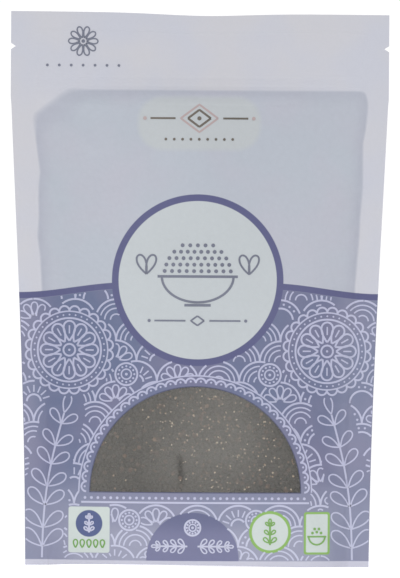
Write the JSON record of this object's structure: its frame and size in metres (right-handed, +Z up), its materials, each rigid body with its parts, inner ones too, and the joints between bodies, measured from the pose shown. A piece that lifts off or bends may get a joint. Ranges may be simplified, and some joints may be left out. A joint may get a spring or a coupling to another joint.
{
  "type": "stand-up pouch of quinoa",
  "caption": "Filled stand-up pouch of black quinoa with tear notches, a press-to-close header and a clear half-round window that shows the grains.",
  "frame": {"origin": "on the floor, below the middle of the pack", "axes": "+Z up the pack from its foot to its top seal, the front with the window faces -Y, +X to the right as seen from the front"},
  "size_m": [0.159, 0.053, 0.232],
  "materials": {
    "printed_film": "satin printed laminate film, pale lavender above and violet blue below",
    "black_quinoa": "dry black seeds with pale germ rings",
    "clear_film": "slightly hazy clear film"
  },
  "bodies": {
    "root": {"pouch": "printed_film", "quinoa": "black_quinoa", "window_film": "clear_film"}
  },
  "joints": []
}
